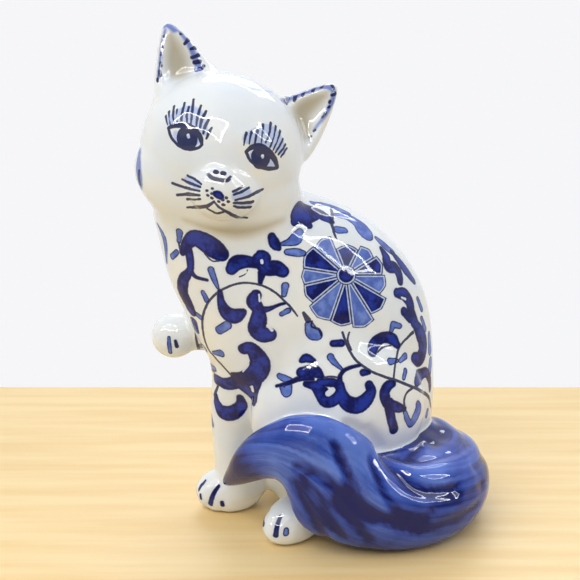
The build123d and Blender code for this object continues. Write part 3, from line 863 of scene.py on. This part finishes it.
# How a triangle is cut when some of its edges are halved: corners 0-2, edge middles 3-5.
CUTS = {
    (0, 0, 0): [(0, 1, 2)],
    (1, 0, 0): [(0, 3, 2), (3, 1, 2)],
    (0, 1, 0): [(0, 1, 4), (0, 4, 2)],
    (0, 0, 1): [(0, 1, 5), (5, 1, 2)],
    (1, 1, 0): [(0, 3, 2), (3, 4, 2), (3, 1, 4)],
    (0, 1, 1): [(0, 1, 4), (0, 4, 5), (5, 4, 2)],
    (1, 0, 1): [(0, 3, 5), (3, 1, 2), (3, 2, 5)],
    (1, 1, 1): [(0, 3, 5), (3, 1, 4), (5, 4, 2), (3, 4, 5)],
}


def refine(points, triangles, wanted, clay):
    """Halves the edges of the wanted triangles, and cuts their neighbours to match."""
    edges = np.sort(triangles[:, [0, 1, 1, 2, 2, 0]].reshape(-1, 2), axis=1)
    keys = edges[:, 0] * len(points) + edges[:, 1]
    keys, first, inverse = np.unique(keys, return_index=True, return_inverse=True)
    inverse = inverse.reshape(-1, 3)
    cut = np.zeros(len(keys), bool)
    cut[inverse[wanted].ravel()] = True
    middle = edges[first[cut]]
    added = clay.settle((points[middle[:, 0]] + points[middle[:, 1]]) / 2, 2)
    number = np.full(len(keys), -1)
    number[cut] = len(points) + np.arange(len(middle))
    corners = np.hstack([triangles, number[inverse]])
    code = cut[inverse]
    made = []
    for pattern, pieces in CUTS.items():
        rows = corners[(code == np.array(pattern, bool)).all(axis=1)]
        made.extend(rows[:, piece] for piece in pieces)
    return np.vstack([points, added]), np.vstack(made)


class Stroke:
    """One stroke laid on the clay: its kind, spine, half widths and the way the surface faces under it."""

    def __init__(self, kind, spine, radii, clay):
        self.kind, self.spine, self.radii = kind, spine, radii
        facing = clay.normals(spine).mean(0)
        self.facing = facing / max(np.linalg.norm(facing), 1e-6)


def lay(painter, strokes, clay, line_weight=LINE_WEIGHT):
    """Strokes by kind, laid on the clay from a painter's place, wider where the surface slants away."""
    laid = []
    for kind, spines in strokes.items():
        weight = line_weight if kind == "line" else 1.0
        for marks in spines:
            fine = rounded(marks)
            spine = painter.project(fine[:, :2], clay)
            slant = np.clip(clay.normals(spine) @ painter.back, LEAST_FACING, 1.0)
            radii = np.maximum(fine[:, 2] * weight / np.sqrt(slant), THINNEST)
            laid.append(Stroke(kind, spine, radii, clay))
    return laid


def turned(strokes, across, up, angle_deg, size):
    """Strokes turned, scaled and moved on the painter's plane. Lines keep their width."""
    c = math.cos(math.radians(angle_deg)) * size
    s = math.sin(math.radians(angle_deg)) * size
    moved = {}
    for kind, spines in strokes.items():
        width = 1 if kind == "line" else size
        moved[kind] = [
            [(across + a * c - b * s, up + a * s + b * c, r * width) for a, b, r in marks]
            for marks in spines
        ]
    return moved


def flower_layers(layers, points, normals, painter, centre, petals, size=1.0):
    """Paints a big flower on the surface that faces the painter."""
    marks = painter.marks(points) - np.array(centre)
    length = np.hypot(marks[:, 0], marks[:, 1]) / size
    bearing = np.degrees(np.arctan2(marks[:, 1], marks[:, 0]))
    near = (length < FLOWER_REACH) & (normals @ painter.back > FAR_SIDE)
    index = np.flatnonzero(near)
    length, bearing = length[index], bearing[index]
    best = {kind: layers[kind][index] for kind in ("line", "ink", "mid", "pale")}
    for first, last, reach, dark in petals:
        gap = petal_gap(length, bearing, first, last, reach)
        fill = "ink" if dark else "mid"
        best["line"] = np.minimum(best["line"], np.abs(gap + PETAL_LINE_INSET) - PETAL_LINE)
        best[fill] = np.minimum(best[fill], gap + BORDER)
        best["pale"] = np.minimum(best["pale"], gap)
    ring = length - FLOWER_RING
    for kind in ("ink", "mid", "line"):
        best[kind] = np.maximum(best[kind], -ring)
    best["line"] = np.minimum(best["line"], np.abs(ring) - RING_LINE)
    best["line"] = np.minimum(best["line"], np.abs(length - FLOWER_EYE) - EYE_LINE)
    best["ink"] = np.minimum(best["ink"], length - FLOWER_EYE)
    best["pale"] = np.minimum(best["pale"], ring)
    for kind, values in best.items():
        layers[kind][index] = values


def petal_gap(length, bearing, first, last, reach):
    """Distance to the outline of a petal between two bearings, negative inside it."""
    turn = (bearing - (first + last) / 2 + 180) % 360 - 180
    half = (last - first) / 2
    side = length * np.sin(np.radians(np.clip(half - np.abs(turn), -60, 60)))
    tip = reach * (1 - PETAL_ROUND * np.abs(turn)) - length
    return -np.minimum(np.minimum(side, tip), length - FLOWER_HEART)


def all_strokes(clay, body):
    """Every stroke on the figurine. The far sides carry sprigs of the same pattern."""
    laid, sprigs = [], []
    for strokes in FACE_PARTS:
        laid += lay(FRONT, strokes, clay, FACE_LINE_WEIGHT)
    for strokes in BODY_PARTS:
        laid += lay(FRONT, strokes, clay)
    for painter, places in ((BACK, BACK_SPRIGS), (RIGHT_SIDE, RIGHT_SPRIGS), (LEFT_SIDE, LEFT_SPRIGS)):
        for place in places:
            sprigs += lay(painter, turned(SPRIG, *place), clay)
    return laid + [sprig for sprig in sprigs if on_far_side(sprig.spine, clay, body)]


def on_far_side(spine, clay, body):
    """Whether a stroke lies on the body casting, on the side that the photograph doesn't show."""
    shown = (clay.normals(spine) @ FRONT.back).max() > FAR_SIDE
    return not shown and np.abs(sample(body, spine)).max() < 2.0


def paint(points, normals, strokes):
    """Signed distances (mm) from points to each kind of paint, negative under it."""
    layers = {kind: np.full(len(points), REACH) for kind in KINDS}
    for stroke in strokes:
        margin = stroke.radii.max() + REACH
        low, high = stroke.spine.min(0) - margin, stroke.spine.max(0) + margin
        near = np.flatnonzero(((points > low) & (points < high)).all(axis=1))
        if not len(near):
            continue
        gap = spine_distance(points[near], stroke.spine, stroke.radii)
        gap = gap + np.where(normals[near] @ stroke.facing < WRONG_SIDE, REACH, 0.0)
        layers[stroke.kind][near] = np.minimum(layers[stroke.kind][near], gap)
    layers["line"] = np.minimum(layers["line"], np.abs(layers["ink"]) - LINE_EDGE)
    shapes = np.minimum(layers["mid"], layers["bud"])
    layers["line"] = np.minimum(layers["line"], np.abs(shapes) - BUD_EDGE)
    layers["mid"] = shapes
    for kind in ("line", "ink", "mid"):
        layers[kind] = np.maximum(layers[kind], -layers["spare"])
    flower_layers(layers, points, normals, FRONT, FLOWER, PETALS)
    flower_layers(layers, points, normals, BACK, SIDE_FLOWER, SIDE_PETALS, SIDE_FLOWER_SIZE)
    return layers


def nearest_edge(layers):
    """How near each point is to the edge of any paint."""
    return np.minimum.reduce([np.abs(layers[kind]) for kind in ("line", "ink", "mid", "pale")])


def build_surface(clay, strokes):
    """The surface's triangles, finer where a stroke's edge runs."""
    points, triangles = first_mesh(clay)
    for reach, longest in REFINEMENTS:
        near = nearest_edge(paint(points, clay.normals(points), strokes))
        sides = np.linalg.norm(points[triangles[:, 1]] - points[triangles[:, 0]], axis=1)
        wanted = (near[triangles].min(axis=1) < reach) & (sides > longest * REFINED_SHARE)
        points, triangles = refine(points, triangles, wanted, clay)
    return points, triangles


def owners(points, triangles, fields):
    """The node that each triangle belongs to, as an index into LUTED."""
    middle = points[triangles].mean(axis=1)
    gaps = np.stack([sample(fields[name], middle) for name, _ in LUTED])
    return gaps.argmin(axis=0)


# ---------------------------------------------------------------- materials
def linear(red, green, blue):
    """A colour for Blender from 0-255 screen values, by the sRGB curve."""
    values = [((c / 255 + 0.055) / 1.055) ** 2.4 if c > 10 else c / 3294 for c in (red, green, blue)]
    return (*values, 1.0)


WHITE = linear(236, 242, 246)
WHITE_COOL = linear(226, 235, 244)
WHITE_WARM = linear(238, 238, 232)
PALE = linear(176, 196, 240)
WASH = linear(98, 120, 194)
MID_LIGHT = linear(118, 146, 224)
MID_DEEP = linear(74, 100, 188)
INK_LIGHT = linear(32, 54, 160)
INK_DEEP = linear(10, 18, 90)
LINE_BLUE = linear(8, 14, 74)
# Colour of the painted shade and painted table reflection inside the ears and under the chin.
WARM_PAINTED_SHADE = linear(186, 181, 163)
TAIL_LIGHT = linear(98, 130, 218)
TAIL_MID = linear(48, 76, 172)
TAIL_DEEP = linear(12, 24, 98)
BISCUIT = linear(226, 216, 198)
BISCUIT_DARK = linear(196, 180, 156)
BISCUIT_GRIT = linear(150, 128, 104)
TABLE_LIGHT = linear(244, 218, 164)
TABLE_GRAIN = linear(236, 204, 142)
ROOM = linear(246, 246, 248)


class Nodes:
    """Short calls for building a material."""

    def __init__(self, name):
        self.material = bpy.data.materials.new(name)
        self.material.use_nodes = True
        self.tree = self.material.node_tree
        self.tree.nodes.clear()
        self.place = self.node("ShaderNodeTexCoord").outputs["Object"]

    def node(self, kind, **settings):
        made = self.tree.nodes.new(kind)
        for key, value in settings.items():
            setattr(made, key, value)
        return made

    def link(self, source, socket):
        if hasattr(source, "is_linked"):
            self.tree.links.new(source, socket)
        else:
            socket.default_value = source

    def math(self, operation, *values):
        made = self.node("ShaderNodeMath", operation=operation)
        for socket, value in zip(made.inputs, values):
            self.link(value, socket)
        return made.outputs[0]

    def swing(self, value, weight):
        """A noise made to swing about zero, times a weight."""
        return self.math("MULTIPLY", self.math("SUBTRACT", value, 0.5), weight)

    def attribute(self, name, output="Fac"):
        return self.node("ShaderNodeAttribute", attribute_name=name).outputs[output]

    def noise(self, size_mm, vector=None, detail=3.0):
        made = self.node("ShaderNodeTexNoise")
        self.link(self.place if vector is None else vector, made.inputs["Vector"])
        made.inputs["Scale"].default_value = 1.0 / (size_mm * MM) if vector is None else 1.0 / size_mm
        made.inputs["Detail"].default_value = detail
        made.inputs["Roughness"].default_value = 0.55
        return made.outputs["Fac"]

    def fade(self, value, start, end, low=0.0, high=1.0):
        made = self.node("ShaderNodeMapRange", interpolation_type="SMOOTHSTEP")
        for socket, entry in zip(made.inputs, (value, start, end, low, high)):
            self.link(entry, socket)
        return made.outputs[0]

    def mix(self, share, one, other):
        made = self.node("ShaderNodeMix", data_type="RGBA")
        self.link(share, made.inputs[0])
        self.link(one, made.inputs[6])
        self.link(other, made.inputs[7])
        return made.outputs[2]

    def shader(self, colour, **values):
        made = self.node("ShaderNodeBsdfPrincipled")
        self.link(colour, made.inputs["Base Color"])
        for key, value in values.items():
            self.link(value, made.inputs[key.replace("_", " ")])
        output = self.node("ShaderNodeOutputMaterial")
        self.link(made.outputs[0], output.inputs["Surface"])
        return made

    def bump(self, shader, height, distance_mm, strength=1.0):
        made = self.node("ShaderNodeBump")
        made.inputs["Strength"].default_value = strength
        made.inputs["Distance"].default_value = distance_mm * MM
        self.link(height, made.inputs["Height"])
        self.link(made.outputs["Normal"], shader.inputs["Normal"])


def under_glaze(nodes):
    """The cobalt painting: washes, fills, then dark outlines, pooled at their edges, over white with a
    painted warm shade.
    """
    hand = nodes.math("ADD", nodes.swing(nodes.noise(1.6), 0.35), nodes.swing(nodes.noise(0.7), 0.16))
    wash = nodes.noise(5.0, detail=4.0)
    brush = nodes.noise(1.4, detail=3.0)

    def gap(name):
        return nodes.math("ADD", nodes.attribute(name), hand)

    white = nodes.mix(nodes.fade(nodes.noise(38.0), 0.35, 0.7), WHITE, WHITE_COOL)
    white = nodes.mix(nodes.fade(nodes.noise(17.0), 0.5, 0.8), white, WHITE_WARM)
    # Painted shade and painted reflection of the table: a warm tint inside the ears and under the chin.
    painted_shade = nodes.fade(nodes.attribute("painted_shade"), 2.8, -3.4)
    white = nodes.mix(painted_shade, white, WARM_PAINTED_SHADE)
    blush = nodes.fade(gap("mid"), 1.6, -0.2, 0.0, 0.22)
    blush = nodes.math("MAXIMUM", blush, nodes.fade(gap("ink"), 1.9, -0.2, 0.0, 0.3))
    colour = nodes.mix(blush, white, PALE)
    colour = nodes.mix(nodes.fade(gap("pale"), 0.5, -0.6, 0.0, 0.85), colour, PALE)
    colour = nodes.mix(nodes.fade(gap("wash"), 0.5, -0.9, 0.0, 0.9), colour, WASH)
    mid = nodes.mix(nodes.fade(wash, 0.35, 0.68), MID_DEEP, MID_LIGHT)
    mid = nodes.mix(nodes.fade(gap("mid"), -1.3, -0.1, 0.0, 0.5), mid, MID_DEEP)
    colour = nodes.mix(nodes.fade(gap("mid"), 0.12, -0.12), colour, mid)
    tone = nodes.math("ADD", nodes.fade(wash, 0.3, 0.7), nodes.swing(brush, 0.5))
    ink = nodes.mix(nodes.fade(tone, 0.1, 0.95), INK_DEEP, INK_LIGHT)
    ink = nodes.mix(nodes.fade(gap("ink"), -1.4, -0.1, 0.0, 0.55), ink, INK_DEEP)
    colour = nodes.mix(nodes.fade(gap("ink"), 0.12, -0.12), colour, ink)
    line = nodes.mix(nodes.fade(brush, 0.35, 0.7, 0.0, 0.45), LINE_BLUE, INK_DEEP)
    return nodes.mix(nodes.fade(gap("line"), 0.13, -0.13, 0.0, 0.94), colour, line)


def tail_wash(nodes):
    """Broad streaks of cobalt drawn along the fur, with painted shade darkest in the grooves and painted
    light on its higher parts.
    """
    course = nodes.attribute("course", "Vector")
    near = nodes.attribute("near")

    def marks(noise, middle):
        return nodes.math("MULTIPLY_ADD", nodes.math("SUBTRACT", noise, middle), near, middle)

    streak = marks(nodes.noise(1.0, course, detail=4.0), 0.55)
    broad = marks(nodes.noise(3.2, course, detail=2.0), 0.6)
    tone = nodes.math("ADD", nodes.math("MULTIPLY", streak, 0.42), nodes.math("MULTIPLY", broad, 0.5))
    # Painted light: the wash is lighter higher up on the tail.
    tone = nodes.math("ADD", tone, nodes.fade(nodes.attribute("height"), 6.0, 42.0, 0.0, 0.15))
    tone = nodes.math("ADD", tone, nodes.swing(nodes.noise(26.0), 0.45))
    # Painted shade: the wash is darker in the grooves and creases of the fur, also where the tail meets the
    # body.
    tone = nodes.math("SUBTRACT", tone, nodes.math("MULTIPLY", nodes.attribute("groove"), 0.62))
    split = nodes.node("ShaderNodeSeparateXYZ")
    nodes.link(course, split.inputs[0])
    tone = nodes.math("SUBTRACT", tone, nodes.fade(split.outputs["X"], 5.8, 7.4, 0.0, 0.5))
    colour = nodes.mix(nodes.fade(tone, 0.34, 0.54), TAIL_DEEP, TAIL_MID)
    return nodes.mix(nodes.fade(tone, 0.5, 0.74), colour, TAIL_LIGHT)


def glaze_material(name):
    """Clear glossy glaze over the painting. The tail's wash ends where it meets the body."""
    nodes = Nodes(name)
    edge = nodes.math("ADD", nodes.attribute("tail"), nodes.math("MULTIPLY", nodes.noise(2.4), 0.5))
    colour = nodes.mix(nodes.fade(edge, 0.45, 0.05), under_glaze(nodes), tail_wash(nodes))
    bare = nodes.fade(nodes.math("ADD", nodes.attribute("height"), nodes.noise(3.0)), 1.25, 0.75)
    colour = nodes.mix(bare, colour, BISCUIT_DARK)
    rough = nodes.fade(nodes.noise(9.0), 0.3, 0.8, 0.035, 0.08)
    rough = nodes.math("ADD", rough, nodes.math("MULTIPLY", bare, 0.5))
    shader = nodes.shader(colour, Roughness=rough, IOR=1.5, Specular_IOR_Level=0.36)
    fine_ripple = nodes.math("MULTIPLY", nodes.noise(3.0, detail=1.0), 0.12)
    ripple = nodes.math("ADD", nodes.noise(11.0, detail=1.0), fine_ripple)
    nodes.bump(shader, ripple, 0.5, 0.45)
    return nodes.material


def biscuit_material(name):
    """Unglazed fired clay: chalky, faintly gritty, with rubbed darker patches."""
    nodes = Nodes(name)
    colour = nodes.mix(nodes.fade(nodes.noise(7.0, detail=5.0), 0.42, 0.7), BISCUIT, BISCUIT_DARK)
    grit = nodes.noise(0.5, detail=2.0)
    colour = nodes.mix(nodes.fade(grit, 0.62, 0.72, 0.0, 0.4), colour, BISCUIT_GRIT)
    shader = nodes.shader(colour, Roughness=nodes.fade(grit, 0.3, 0.7, 0.72, 0.9))
    nodes.bump(shader, grit, 0.08, 0.6)
    return nodes.material


def floor_material(name):
    """A pale matt table top with faint long grain."""
    nodes = Nodes(name)
    stretch = nodes.node("ShaderNodeMapping")
    nodes.link(nodes.place, stretch.inputs["Vector"])
    stretch.inputs["Scale"].default_value = (1.0, 14.0, 1.0)
    grain = nodes.node("ShaderNodeTexNoise")
    nodes.link(stretch.outputs[0], grain.inputs["Vector"])
    grain.inputs["Scale"].default_value = 9.0
    grain.inputs["Detail"].default_value = 5.0
    colour = nodes.mix(nodes.fade(grain.outputs["Fac"], 0.3, 0.7), TABLE_GRAIN, TABLE_LIGHT)
    nodes.shader(colour, Roughness=0.45)
    return nodes.material


# ---------------------------------------------------------------- building
def new_object(name, data):
    made = bpy.data.objects.new(name, data)
    bpy.context.scene.collection.objects.link(made)
    return made


def mesh_object(name, points, triangles):
    """A smooth-shaded mesh object from points in mm."""
    mesh = bpy.data.meshes.new(name)
    mesh.vertices.add(len(points))
    mesh.vertices.foreach_set("co", (points * MM).astype(np.float32).ravel())
    mesh.loops.add(len(triangles) * 3)
    mesh.loops.foreach_set("vertex_index", triangles.astype(np.int32).ravel())
    mesh.polygons.add(len(triangles))
    starts = np.arange(0, len(triangles) * 3, 3, dtype=np.int32)
    mesh.polygons.foreach_set("loop_start", starts)
    mesh.update(calc_edges=True)
    mesh.validate()
    mesh.shade_smooth()
    return new_object(name, mesh)


def add_values(mesh, name, values):
    """Stores one number or one vector for each point of a mesh."""
    single = values.ndim == 1
    attribute = mesh.attributes.new(name, "FLOAT" if single else "FLOAT_VECTOR", "POINT")
    attribute.data.foreach_set("value" if single else "vector", values.astype(np.float32).ravel())


def groove_depth(points, clay):
    """0 on the open surface, towards 1 in the grooves, from how the field bends there."""
    slope = sample(clay.slope, points)
    steep = np.maximum(np.linalg.norm(slope, axis=1), 0.5)
    above = sample(clay.field, points + GROOVE_TEST * slope / steep[:, None]) / steep
    return np.clip((GROOVE_TEST - above) * GROOVE_GAIN - GROOVE_START, 0, 1)


def add_paint_values(mesh, points, normals, strokes):
    layers = paint(points, normals, strokes)
    for kind in STORED_KINDS:
        add_values(mesh, kind, layers[kind])


def add_tail_values(mesh, points, clay, fields):
    """What the tail's wash needs: where the tail is, and the course and grooves of its fur."""
    others = np.minimum.reduce([sample(fields[key], points) for key, _ in LUTED if key != TAIL])
    add_values(mesh, "tail", sample(fields[TAIL], points) - others)
    # Height sets the bare foot and the tail's painted lighter top; groove depth below sets the tail's
    # painted shade.
    add_values(mesh, "height", points[:, 2])
    along, turn, radius = tail_course(points)
    swirl = turn - TAIL_TWIST * along
    course = (along / STREAK_LENGTH, np.cos(swirl) * STREAK_RADIUS, np.sin(swirl) * STREAK_RADIUS)
    add_values(mesh, "course", np.stack(course, axis=1))
    add_values(mesh, "near", np.clip((FUR_FADE_END - radius) / (FUR_FADE_END - FUR_FADE_START), 0, 1))
    add_values(mesh, "groove", groove_depth(points, clay))


def add_pieces(clay, fields, strokes, material):
    """One piece for each CAD node that the clay stands for. Neighbours share their seams."""
    points, triangles = build_surface(clay, strokes)
    owner = owners(points, triangles, fields)
    normals = clay.normals(points)
    for index, (node, _) in enumerate(LUTED):
        used, local = np.unique(triangles[owner == index], return_inverse=True)
        own_points, own_normals = points[used], normals[used]
        name = node.replace("_casting", "") + ".glazed"
        piece = mesh_object(name, own_points, local.reshape(-1, 3))
        mesh = piece.data
        add_paint_values(mesh, own_points, own_normals, strokes)
        add_tail_values(mesh, own_points, clay, fields)
        mesh.normals_split_custom_set_from_vertices(own_normals.astype(np.float32))
        mesh.materials.append(material)
        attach(piece, "root")
        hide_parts(node)
        print("piece", name, len(own_points), "points")


def add_floor():
    """A pale table top. Its far edge runs close behind the object, with the bright room beyond."""
    profile = [(TABLE_FRONT, -2 * TABLE_ROUND), (TABLE_FRONT, 0.0)]
    for angle in np.linspace(0, 3.1, TABLE_EDGE_PARTS):
        profile.append((TABLE_BACK + TABLE_ROUND * math.sin(angle), TABLE_ROUND * (math.cos(angle) - 1)))
    points = np.array([(x, y, z) for y, z in profile for x in (-TABLE_HALF, TABLE_HALF)])
    quads = [(2 * i, 2 * i + 1, 2 * i + 3, 2 * i + 2) for i in range(len(profile) - 1)]
    triangles = np.array([t for a, b, c, d in quads for t in ((a, b, c), (a, c, d))])
    floor = mesh_object("table", points, triangles)
    floor.data.materials.append(floor_material("pale_table"))


def area_light(name, centre, turn, size, radiance, colour, lights_room=True):
    """A rectangular light of even brightness. It shows in the glaze even if it doesn't light the room."""
    light = bpy.data.lights.new(name, "AREA")
    light.shape = "RECTANGLE"
    light.size, light.size_y = size[0] * MM, size[1] * MM
    light.energy = radiance * math.pi * light.size * light.size_y
    light.color = colour
    made = new_object(name, light)
    made.location = centre * MM
    made.rotation_euler = turn.to_euler()
    made.visible_diffuse = lights_room


def add_window(name, place, size, radiance, bar_radiance, colour):
    """A soft window turned towards the object. Its brighter frame shows as lines in the glaze."""
    place = np.array(place)
    turn = vector(MIDDLE - place).to_track_quat("-Z", "Y")
    area_light(name, place, turn, size, radiance, colour)
    across, up = (np.array(turn @ vector(axis)) for axis in ((1, 0, 0), (0, 1, 0)))
    forward = np.array(turn @ vector((0, 0, -1))) * BAR_FORWARD
    bars = [
        ("_beam", up * size[1] / 2, (size[0] + BAR_WIDTH, BAR_WIDTH)),
        ("_post", across * size[0] / 2, (BAR_WIDTH, size[1] + BAR_WIDTH)),
    ]
    for side in (-1, 1):
        for ending, offset, bar in bars:
            centre = place + forward + side * offset
            area_light(name + ending, centre, turn, bar, bar_radiance, colour, False)


def vector(values):
    return Vector([float(v) for v in values])


def add_camera():
    camera = bpy.data.cameras.new("camera")
    camera.lens = CAMERA_LENS
    camera.sensor_width = 36.0
    camera.clip_start = 0.01
    camera.clip_end = 20.0
    made = new_object("camera", camera)
    made.location = FRONT.eye * MM
    made.rotation_euler = vector(-FRONT.back).to_track_quat("-Z", "Y").to_euler()
    bpy.context.scene.camera = made


def add_world():
    """A pale room, brighter behind the object than on the side that it faces."""
    world = bpy.data.worlds.new("studio")
    bpy.context.scene.world = world
    world.use_nodes = True
    tree = world.node_tree
    place = tree.nodes.new("ShaderNodeTexCoord")
    split = tree.nodes.new("ShaderNodeSeparateXYZ")
    tree.links.new(place.outputs["Generated"], split.inputs[0])
    fade = tree.nodes.new("ShaderNodeMapRange")
    fade.interpolation_type = "SMOOTHSTEP"
    tree.links.new(split.outputs["Y"], fade.inputs["Value"])
    fade.inputs["From Min"].default_value = ROOM_FADE[0]
    fade.inputs["From Max"].default_value = ROOM_FADE[1]
    fade.inputs["To Min"].default_value = ROOM_FRONT
    fade.inputs["To Max"].default_value = ROOM_BACK
    background = tree.nodes["Background"]
    background.inputs["Color"].default_value = ROOM
    tree.links.new(fade.outputs[0], background.inputs["Strength"])


add_camera()
add_world()
add_floor()
add_window("window", (-380.0, -560.0, 820.0), (1100.0, 620.0), 2.6, 60.0, (1.0, 0.98, 0.95))
add_window("side_window", (640.0, -260.0, 560.0), (300.0, 420.0), 2.4, 26.0, (0.93, 0.96, 1.0))
add_window("back_window", (120.0, 640.0, 620.0), (600.0, 300.0), 2.0, 8.0, (0.96, 0.98, 1.0))
bpy.context.scene.view_settings.view_transform = "Standard"

clay, node_fields = build_clay()
strokes = all_strokes(clay, node_fields["body_casting"])
add_pieces(clay, node_fields, strokes, glaze_material("painted_glaze"))
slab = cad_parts[SLAB]
slab.data.materials.clear()
slab.data.materials.append(biscuit_material("bare_biscuit"))
